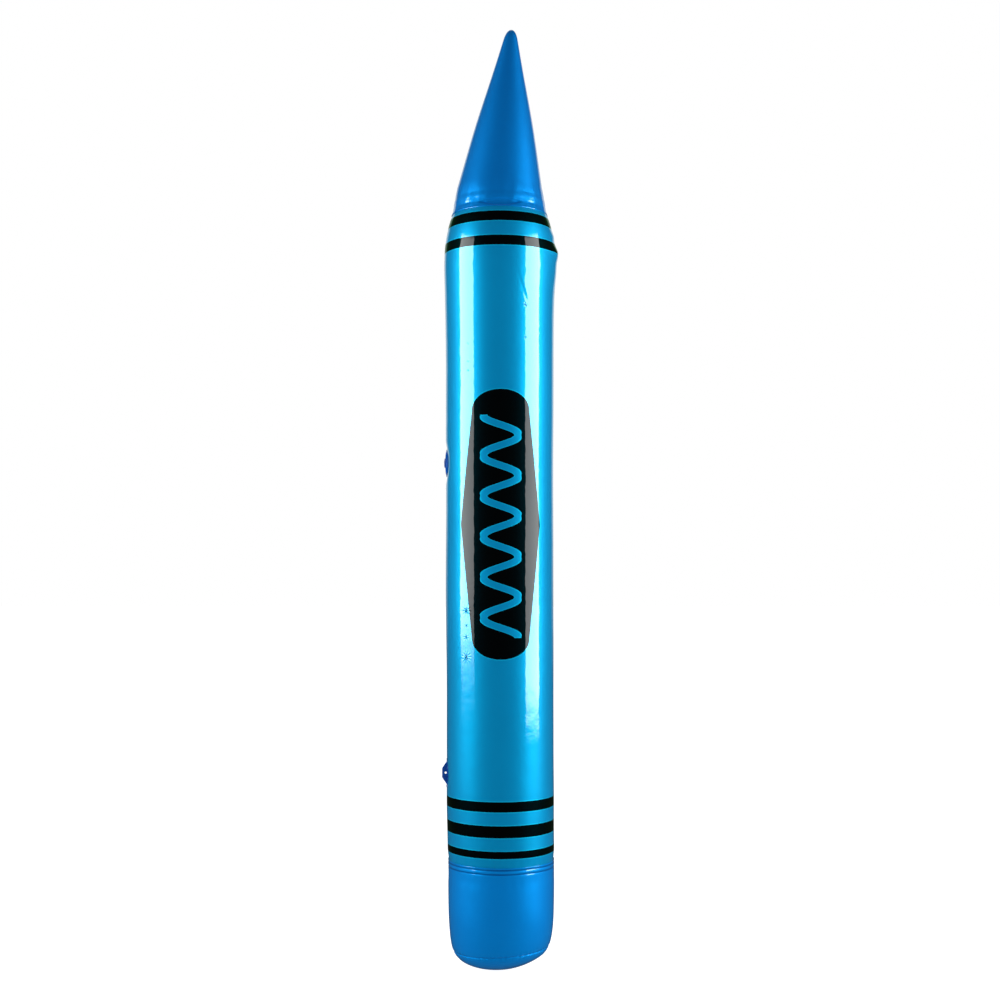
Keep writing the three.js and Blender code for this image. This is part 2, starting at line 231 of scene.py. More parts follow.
def bored(piece, radius, x_from, x_to, z):
    """Cuts a round hole along X through the piece's wall."""
    turn = np.linspace(0, 2 * math.pi, 64, endpoint=False)[None, :]
    ends = np.array([x_from, x_from, x_to, x_to], float)[:, None] + 0 * turn
    reach = np.array([0.0, radius, radius, 0.0])[:, None]
    cutter = surface("port_cutter", ends, reach * np.cos(turn), z + reach * np.sin(turn))
    cut = piece.modifiers.new("port", "BOOLEAN")
    cut.object = cutter
    cut.operation = "DIFFERENCE"
    cut.solver = "EXACT"
    evaluated = piece.evaluated_get(bpy.context.evaluated_depsgraph_get())
    finished = bpy.data.meshes.new_from_object(evaluated)
    piece.modifiers.clear()
    piece.data = finished
    bpy.data.objects.remove(cutter)
    return piece


bored(body_tube, PORT["radius"], -75, -45, PORT["z"])


def colour(hex_code):
    """The linear colour of an sRGB hex code."""
    parts = [int(hex_code[i : i + 2], 16) / 255 for i in (1, 3, 5)]
    linear = [p / 12.92 if p <= 0.04045 else ((p + 0.055) / 1.055) ** 2.4 for p in parts]
    return (*linear, 1.0)


def add_node(tree, kind, sockets=None, **settings):
    """Adds a node. sockets gives inputs their values, or the node or output that feeds them."""
    made = tree.nodes.new("ShaderNode" + kind)
    for key, value in settings.items():
        setattr(made, key, value)
    for key, value in (sockets or {}).items():
        if isinstance(value, bpy.types.Node):
            value = value.outputs[0]
        if isinstance(value, bpy.types.NodeSocket):
            tree.links.new(value, made.inputs[key])
        else:
            made.inputs[key].default_value = value
    return made


def new_material(name):
    """An empty node material and its tree."""
    material = bpy.data.materials.new(name)
    material.use_nodes = True
    material.node_tree.nodes.clear()
    return material, material.node_tree


# Printed pearl vinyl, calendered. Mica in the film gives a soft metallic body colour under a clear glossy
# skin, with a glow that is greener than the film; the black ink is solid and hides the mica.
pearl_film, tree = new_material("printed_pearl_vinyl_film")
place = add_node(tree, "TexCoord").outputs["Object"]
axes = add_node(tree, "SeparateXYZ", {0: place})
minus_y = add_node(tree, "Math", {0: axes.outputs["Y"], 1: -1.0}, operation="MULTIPLY")
angle = add_node(tree, "Math", {0: axes.outputs["X"], 1: minus_y}, operation="ARCTAN2")
arc = add_node(tree, "Math", {0: angle, 1: UPPER_RADIUS, 2: -BADGE["arc"]}, operation="MULTIPLY_ADD")
height = add_node(tree, "Math", {0: axes.outputs["Z"], 1: 1000.0}, operation="MULTIPLY")


def printed_bands(margin):
    """1 inside any of the black bands grown by a margin, 0 elsewhere."""
    total = None
    for low, high in BANDS:
        band = add_node(
            tree,
            "Math",
            {0: height, 1: (low + high) / 2, 2: (high - low) / 2 + margin},
            operation="COMPARE",
        )
        total = band if total is None else add_node(tree, "Math", {0: total, 1: band}, operation="MAXIMUM")
    return total


from_middle = add_node(tree, "Math", {0: height, 1: BADGE["z"]}, operation="SUBTRACT")
from_middle = add_node(tree, "Math", {0: from_middle}, operation="ABSOLUTE")


def printed_badge(margin):
    """1 inside the badge grown by a margin: straight sides that run in from the widest place to the
    shoulders, then half-elliptic ends."""
    narrowing = (BADGE["widest"] - BADGE["shoulder"]) / BADGE["straight"]
    side = add_node(tree, "Math", {0: from_middle, 1: BADGE["straight"]}, operation="MINIMUM")
    widest = BADGE["widest"] + margin
    side = add_node(tree, "Math", {0: side, 1: -narrowing, 2: widest}, operation="MULTIPLY_ADD")
    past = add_node(tree, "Math", {0: from_middle, 1: BADGE["straight"]}, operation="SUBTRACT")
    past = add_node(tree, "Math", {0: past, 1: 0.0}, operation="MAXIMUM")
    past = add_node(tree, "Math", {0: past, 1: BADGE["cap"] + margin}, operation="DIVIDE")
    past = add_node(tree, "Math", {0: past, 1: 2.0}, operation="POWER")
    end = add_node(tree, "Math", {0: 1.0, 1: past}, operation="SUBTRACT", use_clamp=True)
    end = add_node(tree, "Math", {0: end}, operation="SQRT")
    half = add_node(tree, "Math", {0: side, 1: end}, operation="MULTIPLY")
    across = add_node(tree, "Math", {0: arc}, operation="ABSOLUTE")
    return add_node(tree, "Math", {0: across, 1: half}, operation="LESS_THAN")


def printed_wave(half_stroke):
    """1 on a sine-wave stroke up the badge, from one crest to another. The distance to the stroke is the
    sideways distance divided by the length of the wave's slope."""
    turns = math.pi * WAVE["turns"] / WAVE["reach"]
    phase = add_node(tree, "Math", {0: height, 1: turns, 2: -turns * WAVE["z"]}, operation="MULTIPLY_ADD")
    swing = add_node(tree, "Math", {0: phase}, operation="SINE")
    off = add_node(tree, "Math", {0: swing, 1: -WAVE["amplitude"], 2: arc}, operation="MULTIPLY_ADD")
    off = add_node(tree, "Math", {0: off}, operation="ABSOLUTE")
    slope = add_node(tree, "Math", {0: phase}, operation="COSINE")
    slope = add_node(tree, "Math", {0: slope, 1: WAVE["amplitude"] * turns}, operation="MULTIPLY")
    slope = add_node(tree, "Math", {0: slope, 1: 2.0}, operation="POWER")
    length = add_node(tree, "Math", {0: slope, 1: 1.0}, operation="ADD")
    length = add_node(tree, "Math", {0: length}, operation="SQRT")
    distance = add_node(tree, "Math", {0: off, 1: length}, operation="DIVIDE")
    stroke = add_node(tree, "Math", {0: distance, 1: half_stroke}, operation="LESS_THAN")
    reach = WAVE["reach"] - WAVE["half_stroke"] + half_stroke
    inside = add_node(tree, "Math", {0: height, 1: WAVE["z"], 2: reach}, operation="COMPARE")
    return add_node(tree, "Math", {0: stroke, 1: inside}, operation="MULTIPLY")


ink = add_node(tree, "Math", {0: printed_bands(0), 1: printed_badge(0)}, operation="MAXIMUM")
wave = printed_wave(WAVE["half_stroke"])
ink = add_node(tree, "Math", {0: ink, 1: wave}, operation="SUBTRACT", use_clamp=True)
edge = add_node(
    tree, "Math", {0: printed_bands(PRINT_MARGIN), 1: printed_badge(PRINT_MARGIN)}, operation="MAXIMUM"
)
inner_wave = printed_wave(WAVE["half_stroke"] - 1.0)
edge = add_node(tree, "Math", {0: edge, 1: inner_wave}, operation="SUBTRACT", use_clamp=True)
cloud = add_node(tree, "TexNoise", {"Vector": place, "Scale": 14.0, "Detail": 3.0, "Roughness": 0.55})
shades = {0: cloud, 6: colour("#008bc8"), 7: colour("#0093d0")}
film_colour = add_node(tree, "Mix", shades, data_type="RGBA")
lined = add_node(tree, "Mix", {0: edge, 6: film_colour.outputs[2], 7: colour("#00aadc")}, data_type="RGBA")
skin_colour = add_node(tree, "Mix", {0: ink, 6: lined.outputs[2], 7: colour("#000a0f")}, data_type="RGBA")
metallic = add_node(tree, "Math", {0: ink, 1: 0.48, 2: 0.52}, operation="MULTIPLY_ADD")
flakes = add_node(tree, "TexNoise", {"Vector": place, "Scale": 900.0, "Detail": 2.0})
rough = add_node(tree, "Math", {0: flakes, 1: 0.04, 2: 0.4}, operation="MULTIPLY_ADD")
coat = add_node(tree, "Math", {0: ink, 1: -0.6, 2: 1.0}, operation="MULTIPLY_ADD")
relief = add_node(tree, "TexNoise", {"Vector": place, "Scale": 60.0, "Detail": 2.0})
# Star-shaped scuffs, where the folded film was creased: arc from the badge, height, size, number of rays.
SCUFFS = [
    (-42, 415, 8, 9),
    (-42, 398, 3, 5),
    (-42, 385, 4.5, 7),
    (-42, 362, 8, 11),
    (-39, 717, 1.6, 3),
    (-39, 697, 2.2, 3),
    (-39, 687, 1.6, 4),
    (29, 760, 4, 6),
    (29, 724, 2.5, 5),
]
for scuff_arc, scuff_z, size, rays in SCUFFS:
    aside = add_node(tree, "Math", {0: arc, 1: scuff_arc}, operation="SUBTRACT")
    above = add_node(tree, "Math", {0: height, 1: scuff_z}, operation="SUBTRACT")
    heading = add_node(tree, "Math", {0: above, 1: aside}, operation="ARCTAN2")
    ray = add_node(tree, "Math", {0: heading, 1: rays, 2: scuff_z}, operation="MULTIPLY_ADD")
    ray = add_node(tree, "Math", {0: ray}, operation="SINE")
    offset = add_node(tree, "CombineXYZ", {0: aside, 1: above})
    far = add_node(tree, "VectorMath", {0: offset}, operation="LENGTH").outputs["Value"]
    fade = {"Value": far, "From Min": size, "From Max": 0.2 * size, "To Max": 0.6}
    near = add_node(tree, "MapRange", fade)
    relief = add_node(tree, "Math", {0: ray, 1: near, 2: relief}, operation="MULTIPLY_ADD")
bump = add_node(tree, "Bump", {"Strength": 1.0, "Distance": 0.0002, "Height": relief})
film_shader = add_node(
    tree,
    "BsdfPrincipled",
    {
        "Base Color": skin_colour.outputs[2],
        "Metallic": metallic,
        "Roughness": rough,
        "Normal": bump,
        "Coat Weight": coat,
        "Coat Roughness": 0.03,
        "Coat Normal": bump,
        "Coat IOR": 1.6,
        "IOR": 1.6,
        "Specular IOR Level": 1.0,
        "Specular Tint": (0.0, 1.0, 0.45, 1.0),
    },
)
add_node(tree, "OutputMaterial", {"Surface": film_shader})
body_tube.data.materials.clear()
body_tube.data.materials.append(pearl_film)
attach(body_tube, "skin")
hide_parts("body_tube")

# ---------------------------------------------------------------------------------------------- cone tip
# The crayon's point: a wedge of deep blue tinted vinyl rolled into a cone. Its skirt is slipped over the body
# tube and welded there, which stiffens and puckers it; the point is a small round nose that leans sideways.

SKIRT_FOOT = 872
NOSE = {"z": 1074, "height": 15.5}
LEAN = 0.0735  # mm to +X per mm of height above LEAN_FROM
LEAN_FROM = 904


def cone_wall(azimuth, z):
    """The cone's slope, standing 0.6 mm off the body tube along the skirt, with the weld's dents and small
    puckers that fan up from it; the nose rounds it off with the fourth power of the height."""
    side = wrapped(azimuth)
    lapped = 0.6 * (1 - smoothstep(z, 885, 892))
    fan = 0.3 * ripple(azimuth, (9, 16, 23), 7) * hump(z, 893, 9)
    wall = cone_radius(z) + lapped - tip_weld_dent(side, z) + fan
    return wall * np.sqrt(np.clip(1 - (np.maximum(z - NOSE["z"], 0) / NOSE["height"]) ** 4, 0, 1))


def shell(name, rows, wall, columns):
    """A film section with an outer and an inner wall, from the wall's radius over azimuth and height."""
    turn = np.linspace(0, 2 * math.pi, columns, endpoint=False)[None, :]
    up = rows[:, None] + 0 * turn
    radius = wall(turn, up)
    heights = np.concatenate([up, up[::-1] - FILM * (up[::-1] > 1060)])
    radii = np.concatenate([radius, np.maximum(radius[::-1] - FILM, 0)])
    turn = turn + 0 * heights
    return radii * np.sin(turn), -radii * np.cos(turn), heights


cone_rows = np.concatenate(
    [
        np.linspace(SKIRT_FOOT, 898, 36),
        np.linspace(898, NOSE["z"], 90)[1:],
        NOSE["z"] + NOSE["height"] * np.sin(np.linspace(0, math.pi / 2, 16)[1:]),
    ]
)
tip_x, tip_y, tip_z = shell("tip", cone_rows, cone_wall, 220)
tip_x = tip_x + bow(tip_z) + LEAN * np.maximum(0, tip_z - LEAN_FROM)
tip_cone = surface("cone_film", tip_x, tip_y, tip_z, along=True)


def tinted_vinyl(name, deep, light, shaded_weld_grooves=()):
    """Tinted vinyl, calendered, with less mica than the body's film, so its gloss has a softer body colour under
    the same clear skin. Along each weld groove, given by its height, a darker blue is painted in as the groove's
    painted shade."""
    material, tree = new_material(name)
    place = add_node(tree, "TexCoord").outputs["Object"]
    cloud = add_node(tree, "TexNoise", {"Vector": place, "Scale": 16.0, "Detail": 3.0})
    shade = add_node(tree, "Mix", {0: cloud, 6: colour(deep), 7: colour(light)}, data_type="RGBA")
    axes = add_node(tree, "SeparateXYZ", {0: place})
    for weld_z in shaded_weld_grooves:
        off = add_node(tree, "Math", {0: axes.outputs["Z"], 1: weld_z / 1000}, operation="SUBTRACT")
        off = add_node(tree, "Math", {0: off}, operation="ABSOLUTE")
        # The painted shade is solid for 0.4 mm on each side of the groove and fades out by 1.4 mm.
        fade = {"Value": off, "From Min": 0.0014, "From Max": 0.0004, "To Max": 0.75}
        line = add_node(tree, "MapRange", fade)
        mixed = {0: line, 6: shade.outputs[2], 7: colour("#003c8c")}
        shade = add_node(tree, "Mix", mixed, data_type="RGBA")
    flakes = add_node(tree, "TexNoise", {"Vector": place, "Scale": 900.0, "Detail": 2.0})
    rough = add_node(tree, "Math", {0: flakes, 1: 0.04, 2: 0.42}, operation="MULTIPLY_ADD")
    stretch = add_node(tree, "TexNoise", {"Vector": place, "Scale": 60.0, "Detail": 2.0})
    bump = add_node(tree, "Bump", {"Strength": 1.0, "Distance": 0.0002, "Height": stretch})
    film_shader = add_node(
        tree,
        "BsdfPrincipled",
        {
            "Base Color": shade.outputs[2],
            "Metallic": 0.58,
            "Roughness": rough,
            "Normal": bump,
            "Coat Weight": 1.0,
            "Coat Roughness": 0.04,
            "Coat Normal": bump,
            "Coat IOR": 1.5,
            "IOR": 1.6,
            "Specular IOR Level": 0.8,
            "Specular Tint": (0.0, 1.0, 0.3, 1.0),
        },
    )
    add_node(tree, "OutputMaterial", {"Surface": film_shader})
    return material


deep_film = tinted_vinyl("tinted_blue_vinyl_film", "#0076d0", "#007ed8")
tip_cone.data.materials.append(deep_film)
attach(tip_cone, "skin")
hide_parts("tip_cone")

# ---------------------------------------------------------------------------------------------- base cup
# The lower end: a short tube of the same tinted vinyl. Its rim is slipped over the body tube and welded with
# two bars, which leaves two fine grooves; below, it rounds in to the seam of the base disc.

CUP_RIM = 125
GROOVES = (122.4, 117.6)
SAG = 6.0
SEAM_TILT = 0.057
SEAM_HEIGHT = 22.5


def through(points, count):
    """A smooth curve through the points: between two of them, the cubic whose slope at each end is half the
    step between that point's neighbours."""
    p = np.array(points, float)
    p = np.vstack([2 * p[0] - p[1], p, 2 * p[-1] - p[-2]])
    at = np.linspace(0, len(points) - 1 - 1e-9, count)
    i = at.astype(int)
    t = (at - i)[:, None]
    a, b, c, d = p[i], p[i + 1], p[i + 2], p[i + 3]
    return b + 0.5 * t * (c - a + t * (2 * a - 5 * b + 4 * c - d + t * (3 * (b - c) + d - a)))


def sagged(x, z):
    """Shifts the lowest stretch towards -X and tilts the seam up towards +X, and leaves the foot level."""
    tilt = SEAM_TILT * x * smoothstep(z, 0, 14) * (1 - smoothstep(z, SEAM_HEIGHT, 61))
    shift = bow(z) - SAG * (1 - smoothstep(z, 0, 15))
    return x + shift, z + tilt


def seam_beads(azimuth, along_profile):
    """Fine uneven puckers along the seam, dying away from it on both sides."""
    uneven = 0.6 + 0.4 * ripple(azimuth, (5, 8, 13), 3)
    return uneven * ripple(azimuth, (47, 61, 83), 5) * hump(along_profile, 0, 2.2)


cup_points = [(56.0, SEAM_HEIGHT), (58.2, 30), (60.0, 42), (61.4, 62), (61.6, 90), (61.5, 113)]
cup_outline = through([*cup_points, (61.6, 118), (61.7, CUP_RIM)], 150)
turn = np.linspace(0, 2 * math.pi, 300, endpoint=False)[None, :]
cup_radius = cup_outline[:, :1] + 0 * turn
cup_height = cup_outline[:, 1:] + 0 * turn
pressed = sum(hump(cup_height, z, 1.1) for z in GROOVES) * (0.24 + 0.1 * ripple(turn, (7, 12, 19), 8))
pressed = pressed * (1 + 2 * hump(wrapped(turn), 0, 0.4))
cup_radius = cup_radius - pressed - 0.15 * hump(cup_height, 107, 6) * (1 + ripple(turn, (17, 26, 39), 2))
cup_radius = cup_radius + 0.7 * seam_beads(turn, (cup_height - SEAM_HEIGHT) * 0.6)
cup_radius = cup_radius - 1.0 * hump(cup_height, SEAM_HEIGHT, 1.1)
cup_radius = cup_radius + 0.25 * np.cos(4 * turn + cup_height / 18) * hump(cup_height, 70, 30)
radii = np.concatenate([cup_radius, cup_radius[::-1] - FILM])
heights = np.concatenate([cup_height, cup_height[::-1]])
cup_x, cup_z = sagged(radii * np.sin(turn), heights)
base_cup = surface("cup_film", cup_x, -radii * np.cos(turn), cup_z, along=True)
# The cup and the disc are given a lighter blue than the cone, with painted shade along the cup's two weld
# grooves.
light_film = tinted_vinyl("light_tinted_blue_vinyl_film", "#0085e1", "#008de9", GROOVES)
base_cup.data.materials.append(light_film)
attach(base_cup, "skin")
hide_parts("base_cup")

# --------------------------------------------------------------------------------------------- base disc
# The toy stands on a round disc of the same film, domed by the air and welded into the cup's lower edge, with
# a small flat foot in the middle. The weld gathers the film into short puckers.

disc_points = [(0, 0), (5, 0), (10, 0), (18, 0.4), (26, 1.5), (33.5, 4), (41, 7.5), (48, 12), (53, 17)]
disc_outline = through([*disc_points, (55.9, 22.6)], 100)
disc_radius = disc_outline[:, :1] + 0 * turn
disc_height = disc_outline[:, 1:] + 0 * turn
disc_radius = disc_radius + 0.7 * seam_beads(turn, (disc_height - SEAM_HEIGHT) * 0.6)
disc_radius = disc_radius - 1.0 * hump(disc_height, SEAM_HEIGHT, 1.1)
radii = np.concatenate([disc_radius, disc_radius[::-1] - FILM * smoothstep(disc_radius[::-1], 0, 20)])
heights = np.concatenate([disc_height, disc_height[::-1] + FILM])
disc_x, disc_z = sagged(radii * np.sin(turn), np.maximum(heights, 0))
base_disc = surface("base_disc_film", disc_x, -radii * np.cos(turn), disc_z)
base_disc.data.materials.append(light_film)
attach(base_disc, "skin")
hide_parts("base_disc")

# -------------------------------------------------------------------------------------- inflation valve
# The push-in air valve on the left side, injection moulded from soft blue vinyl: a thin domed flange welded
# over the film's port, a thin diaphragm, a stem with a check flap behind it, and a plug on a short strap.

VALVE = {"z": VALVE_HEIGHT, "flange": 16.0, "inner": 11.0, "stem": 4.8, "bore": 3.5, "rim": 5.6}
FLANGE_TOP = 63.3  # distance from the toy's axis
RIM_TOP = 63.6
CAP_UNDER = 63.9


def film_out(y, z):
    """Distance of the film's outer face from the YZ plane on the left side."""
    return np.sqrt(body_radius(z) ** 2 - y**2) - dished(y, z) - bow(z)


def moulding(name, radii, out, z_centre, columns=72, along=True):
    """A round piece on the left side: rows of radius, and the distance out from the YZ plane as a function
    of y, z and the row's number."""
    round_it = np.linspace(0, 2 * math.pi, columns, endpoint=False)[None, :]
    radii = np.array(radii, float)[:, None]
    y = radii * np.cos(round_it)
    z = z_centre + radii * np.sin(round_it)
    return surface(name, -out(y, z), y, z, along=along)


def lathed(name, profile, z_centre, y_centre=0.0, columns=64):
    """A round piece turned about an axis along X from points of (radius, distance out)."""
    round_it = np.linspace(0, 2 * math.pi, columns, endpoint=False)[None, :]
    radius = profile[:, :1]
    out = profile[:, 1:] + 0 * round_it
    y = y_centre + radius * np.cos(round_it)
    z = z_centre + radius * np.sin(round_it)
    return surface(name, -out, y, z, along=True)


def softened(points, radius, steps=4):
    """The closed outline with each corner rounded by a curve that starts and ends at that distance from it,
    or at just under half of a shorter side."""
    p = np.array(points, float)
    back = np.roll(p, 1, axis=0) - p
    ahead = np.roll(p, -1, axis=0) - p
    back_length = np.linalg.norm(back, axis=1, keepdims=True)
    ahead_length = np.linalg.norm(ahead, axis=1, keepdims=True)
    enter = p + back / back_length * np.minimum(radius, 0.45 * back_length)
    leave = p + ahead / ahead_length * np.minimum(radius, 0.45 * ahead_length)
    t = np.linspace(0, 1, steps)[None, :, None]
    curve = (1 - t) ** 2 * enter[:, None] + 2 * t * (1 - t) * p[:, None] + t**2 * leave[:, None]
    return curve.reshape(-1, 2)


# Soft vinyl, injection moulded, glossy where the mould was polished; it bends easily and looks wet at edges.
soft_moulding, tree = new_material("moulded_soft_blue_vinyl")
place = add_node(tree, "TexCoord").outputs["Object"]
cloud = add_node(tree, "TexNoise", {"Vector": place, "Scale": 120.0, "Detail": 2.0})
shade = add_node(tree, "Mix", {0: cloud, 6: colour("#00357a"), 7: colour("#00418c")}, data_type="RGBA")
rough = add_node(tree, "Math", {0: cloud, 1: 0.1, 2: 0.2}, operation="MULTIPLY_ADD")
grain = add_node(tree, "TexNoise", {"Vector": place, "Scale": 900.0, "Detail": 1.0})
bump = add_node(tree, "Bump", {"Strength": 1.0, "Distance": 0.00003, "Height": grain})
moulding_shader = add_node(
    tree,
    "BsdfPrincipled",
    {
        "Base Color": shade.outputs[2],
        "Roughness": rough,
        "Normal": bump,
        "IOR": 1.53,
        "Specular IOR Level": 0.3,
        "Subsurface Weight": 0.15,
        "Subsurface Scale": 0.001,
    },
)
add_node(tree, "OutputMaterial", {"Surface": moulding_shader})

top_radii = np.linspace(VALVE["inner"], VALVE["flange"], 14)
flange_radii = np.concatenate([top_radii, top_radii[::-1]])[:, None]
is_top = (np.arange(28) < 14)[:, None]


def flange_out(y, z):
    """The top runs from the raised inner ring down to a thin edge that follows the film; the underside lies
    on the film outside the port."""
    film = film_out(y, z)
    r = np.hypot(y, z - VALVE["z"])
    top = FLANGE_TOP + (film + 0.65 - FLANGE_TOP) * smoothstep(r, VALVE["inner"], VALVE["flange"])
    under = FLANGE_TOP - 0.7 + (film + 0.25 - FLANGE_TOP + 0.7) * smoothstep(r, VALVE["inner"], 13)
    return np.where(is_top, top, under)


flange = moulding("valve_flange_moulded", flange_radii[:, 0], flange_out, VALVE["z"])
flange.data.materials.append(soft_moulding)
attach(flange, "skin")
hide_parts("valve_flange")

DIAPHRAGM_INNER = 5.75
DIAPHRAGM_RISE = 0.35
slope_radii = np.linspace(DIAPHRAGM_INNER, VALVE["inner"] - 0.2, 12)
diaphragm_radii = np.concatenate([slope_radii, slope_radii[::-1]])
diaphragm_top = (np.arange(24) < 12)[:, None]


def diaphragm_out(y, z):
    """A shallow cone that rises towards the stem, with a constant thickness."""
    r = np.hypot(y, z - VALVE["z"])
    rise = DIAPHRAGM_RISE * (1 - (r - DIAPHRAGM_INNER) / (VALVE["inner"] - DIAPHRAGM_INNER))
    return FLANGE_TOP + rise - np.where(diaphragm_top, 0.0, 0.5)


diaphragm = moulding("valve_diaphragm_moulded", diaphragm_radii, diaphragm_out, VALVE["z"])
diaphragm.data.materials.append(soft_moulding)
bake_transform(diaphragm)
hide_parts("valve_diaphragm")

stem_profile = softened(
    [
        (VALVE["bore"], RIM_TOP - 12),
        (VALVE["stem"], RIM_TOP - 12),
        (VALVE["stem"], RIM_TOP - 0.8),
        (VALVE["rim"], RIM_TOP - 0.8),
        (VALVE["rim"], RIM_TOP),
        (VALVE["bore"], RIM_TOP),
    ],
    0.35,
)
stem = lathed("valve_stem_moulded", stem_profile, VALVE["z"])
stem.data.materials.append(soft_moulding)
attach(stem, "stem")
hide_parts("valve_stem")

plug_profile = softened(
    [
        (0.001, CAP_UNDER - 4.2),
        (2.1, CAP_UNDER - 4.2),
        (3.05, CAP_UNDER - 1.2),
        (3.1, CAP_UNDER),
        (5.9, CAP_UNDER),
        (5.9, CAP_UNDER + 0.15),
        (5.0, CAP_UNDER + 0.65),
        (3.4, CAP_UNDER + 1.0),
        (0.001, CAP_UNDER + 1.1),
    ],
    0.4,
)
plug = lathed("valve_plug_moulded", plug_profile, VALVE["z"])
plug.data.materials.append(soft_moulding)
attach(plug, "plug")
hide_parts("valve_plug")

# The strap: a band bent into a loop from the stem's rim to the cap's edge.
band_path = through([(5.4, 63.2), (7.2, 63.15), (8.3, 63.5), (8.35, 64.1), (7.4, 64.5), (5.6, 64.35)], 28)
along_band = np.gradient(band_path, axis=0)
along_band /= np.linalg.norm(along_band, axis=1, keepdims=True)
band_side = np.stack([-along_band[:, 1], along_band[:, 0]], axis=1)
section = softened([(-1.8, -0.3), (1.8, -0.3), (1.8, 0.3), (-1.8, 0.3)], 0.25)
strap_y = band_path[:, :1] + band_side[:, :1] * section[None, :, 1]
strap_out = band_path[:, 1:] + band_side[:, 1:] * section[None, :, 1]
strap_z = VALVE["z"] + section[None, :, 0] + 0 * strap_y


def end_caps(grid):
    """The grid with a row at each end that gathers into the middle of the end row, which closes the end."""
    return np.vstack([0 * grid[:1] + grid[:1].mean(), grid, 0 * grid[-1:] + grid[-1:].mean()])


strap = surface("plug_strap_moulded", end_caps(-strap_out), end_caps(strap_y), end_caps(strap_z))
strap.data.materials.append(soft_moulding)
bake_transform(strap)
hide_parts("plug_strap")

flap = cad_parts["valve_check_flap"]
for slot in flap.material_slots:
    slot.material = soft_moulding

# ---------------------------------------------------------------------------------------------- hang tab
# A moulded tab for hanging the toy, of the same soft vinyl: a round patch welded to the film, and a fin with
# an eyelet that folds over either way at its thin root.

TAB = {"z": TAB_HEIGHT, "patch": 17.2, "root": 59.75, "top": 67.8, "thick": 1.2}
TAB.update({"half": 16.0, "half_top": 5.0})  # half its length at the root and at the top
EYELET = {"out": 63.3, "hole": 1.3, "thick": 1.8}

patch_radii = np.linspace(0, TAB["patch"], 22)
patch_rows = np.concatenate([patch_radii, patch_radii[::-1]])
patch_top = (np.arange(44) < 22)[:, None]


def patch_out(y, z):
    """The patch follows the dished film, 0.8 mm thick and thinner at its edge."""
    r = np.hypot(y, z - TAB["z"])
    thick = 0.8 - 0.55 * smoothstep(r, TAB["patch"] - 2.5, TAB["patch"])
    return film_out(y, z) + 0.3 + np.where(patch_top, thick, 0.0)


patch = moulding("hang_tab_patch_moulded", patch_rows, patch_out, TAB["z"], along=False)
patch.data.materials.append(soft_moulding)
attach(patch, "skin")
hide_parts("hang_tab_patch")

# The fin's outline runs along its root and back over its flanks and top; the ring between the eyelet's hole
# and this outline is filled on both faces.
upright = np.linspace(-1, 1, 90)
rim_v = np.concatenate([TAB["half"] * upright, TAB["half"] * upright[::-1]])
RAMP_ROUND = 0.06  # how softly the flanks turn into the top, as a share of the height
ramp = np.clip((TAB["half"] - np.abs(TAB["half"] * upright[::-1])) / (TAB["half"] - TAB["half_top"]), 0, 1)
rounded_ramp = -RAMP_ROUND * np.log(np.exp(-ramp / RAMP_ROUND) + np.exp(-0.985 / RAMP_ROUND))
over_top = TAB["root"] + 0.5 + (TAB["top"] - TAB["root"] - 0.5) * rounded_ramp
rim_out = np.concatenate([0 * upright + TAB["root"], over_top])
toward = np.arctan2(rim_out - EYELET["out"], rim_v)
hole_v = EYELET["hole"] * np.cos(toward)
hole_out = EYELET["out"] + EYELET["hole"] * np.sin(toward)
spoke = np.concatenate([np.linspace(0, 1, 18), np.linspace(1, 0, 18)])[:, None]
face = np.concatenate([np.ones(18), -np.ones(18)])[:, None]
fin_v = hole_v + (rim_v - hole_v) * spoke
fin_out = hole_out + (rim_out - hole_out) * spoke
from_hole = np.hypot(fin_v, fin_out - EYELET["out"])
round_edge = np.sqrt(1 - np.clip((spoke - 0.9) / 0.1, 0, 1) ** 2 * 0.75)
in_ring = 1 - smoothstep(from_hole, 2.4, 3.2)
half_thick = TAB["thick"] / 2 + (EYELET["thick"] - TAB["thick"]) / 2 * in_ring
at_hole = smoothstep(from_hole, EYELET["hole"] - 0.05, EYELET["hole"] + 0.4)
half_thick = half_thick * round_edge * (0.6 + 0.4 * at_hole)
fin = surface("hang_tab_moulded", -fin_out, face * half_thick, TAB["z"] + fin_v, along=True)
fin.data.materials.append(soft_moulding)
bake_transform(fin)
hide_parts("hang_tab")

# ---------------------------------------------------------------------------------------------- studio
# A pale floor, two tall soft boxes at the sides and a bright backdrop behind the toy that lights its rims.

floor_span = np.array([[-9000.0, 9000.0], [-9000.0, 9000.0]])
floor_depth = np.array([[-4000.0, -4000.0], [14000.0, 14000.0]])
floor = surface("floor", floor_span, floor_depth, 0 * floor_span, around=False)
floor_paint, tree = new_material("white_studio_floor")
white = add_node(tree, "BsdfDiffuse", {"Color": (0.3, 0.3, 0.3, 1)})
glow = add_node(tree, "Emission", {"Color": (1, 1, 1, 1), "Strength": 0.97})
lit = add_node(tree, "AddShader", {0: white, 1: glow})
add_node(tree, "OutputMaterial", {"Surface": lit})
floor.data.materials.append(floor_paint)
floor.visible_glossy = False

BOX_DISTANCE = 1500
BOX_AZIMUTHS = (55, 90)  # degrees from the front
BOX_TOP = 1500


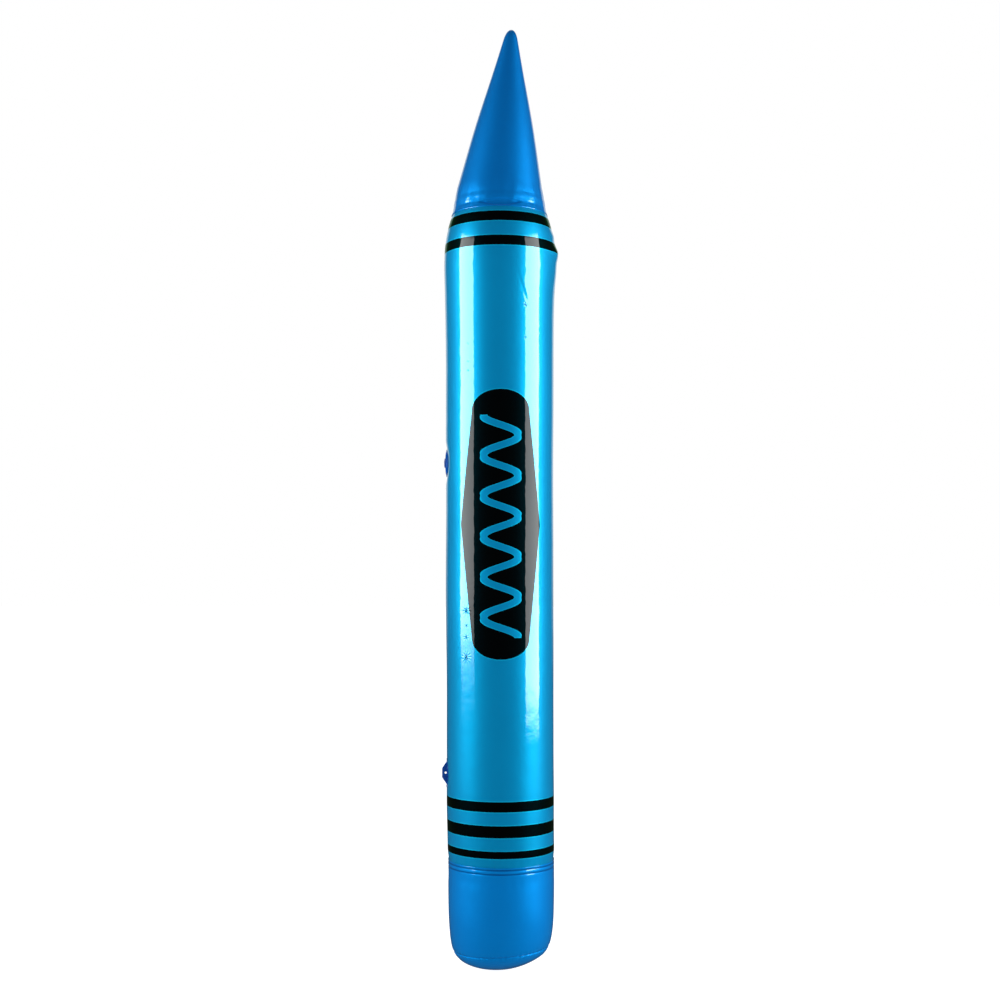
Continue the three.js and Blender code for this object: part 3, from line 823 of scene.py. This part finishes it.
def soft_box(name, side, low, fade, strength):
    """A tall glowing panel at one side, an arc of a cylinder round the toy. It fades out at both ends."""
    across = np.radians(np.linspace(*BOX_AZIMUTHS, 24))[None, :]
    up = np.array([low, BOX_TOP])[:, None]
    x, y = placed(BOX_DISTANCE, side * across)
    panel = surface(name, x + 0 * up, y + 0 * up, up + 0 * across, around=False)
    material, tree = new_material(name + "_light")
    place = add_node(tree, "TexCoord").outputs["Object"]
    axes = add_node(tree, "SeparateXYZ", {0: place})
    level = add_node(
        tree,
        "MapRange",
        {"Value": axes.outputs["Z"], "From Min": low / 1000, "From Max": (low + fade) / 1000},
        interpolation_type="SMOOTHSTEP",
    )
    dimmed = {"Value": axes.outputs["Z"], "From Min": BOX_TOP / 1000, "From Max": (BOX_TOP - 150) / 1000}
    top = add_node(tree, "MapRange", dimmed, interpolation_type="SMOOTHSTEP")
    level = add_node(tree, "Math", {0: level, 1: top}, operation="MULTIPLY")
    front = add_node(
        tree,
        "MapRange",
        {"Value": axes.outputs["Y"], "From Min": -0.82, "From Max": -0.1, "To Min": 0.72, "To Max": 1.0},
    )
    power = add_node(tree, "Math", {0: level, 1: front}, operation="MULTIPLY")
    power = add_node(tree, "Math", {0: power, 1: strength}, operation="MULTIPLY")
    light = add_node(tree, "Emission", {"Color": (1, 1, 1, 1), "Strength": power})
    add_node(tree, "OutputMaterial", {"Surface": light})
    panel.data.materials.append(material)
    panel.visible_camera = False
    panel.visible_shadow = False
    return panel


soft_box("soft_box_left", -1, 120, 330, 9.5)
soft_box("soft_box_right", 1, 85, 140, 10.0)

world = bpy.data.worlds.new("studio")
bpy.context.scene.world = world
world.use_nodes = True
tree = world.node_tree
tree.nodes.clear()
way = add_node(tree, "TexCoord").outputs["Generated"]
axes = add_node(tree, "SeparateXYZ", {0: way})
bearing = add_node(tree, "Math", {0: axes.outputs["X"], 1: axes.outputs["Y"]}, operation="ARCTAN2")
spread = add_node(tree, "Math", {0: bearing}, operation="ABSOLUTE")
BACKDROP_EDGE = (math.radians(33), math.radians(27))  # it fades in between these, measured from behind
start, full = BACKDROP_EDGE
fade = {"Value": spread, "From Min": start, "From Max": full, "To Max": 0.75}
behind = add_node(tree, "MapRange", fade)
above = add_node(tree, "MapRange", {"Value": axes.outputs["Z"], "From Min": -0.08, "From Max": 0.05})
behind = add_node(tree, "Math", {0: behind, 1: above}, operation="MULTIPLY")
mirrored = add_node(tree, "Math", {0: behind, 1: 0.03}, operation="ADD")
rays = add_node(tree, "LightPath").outputs
fill = {0: rays["Is Diffuse Ray"], 1: 0.35, 2: mirrored}
scattered = add_node(tree, "Math", fill, operation="MULTIPLY_ADD")
level = add_node(tree, "Math", {0: rays["Is Camera Ray"], 1: scattered}, operation="MAXIMUM")
tint = add_node(
    tree, "Mix", {0: rays["Is Diffuse Ray"], 6: (1, 1, 1, 1), 7: (0.65, 0.8, 1, 1)}, data_type="RGBA"
)
backdrop = add_node(tree, "Background", {"Color": tint.outputs[2], "Strength": level})
add_node(tree, "OutputWorld", {"Surface": backdrop})

bpy.context.scene.view_settings.view_transform = "Standard"
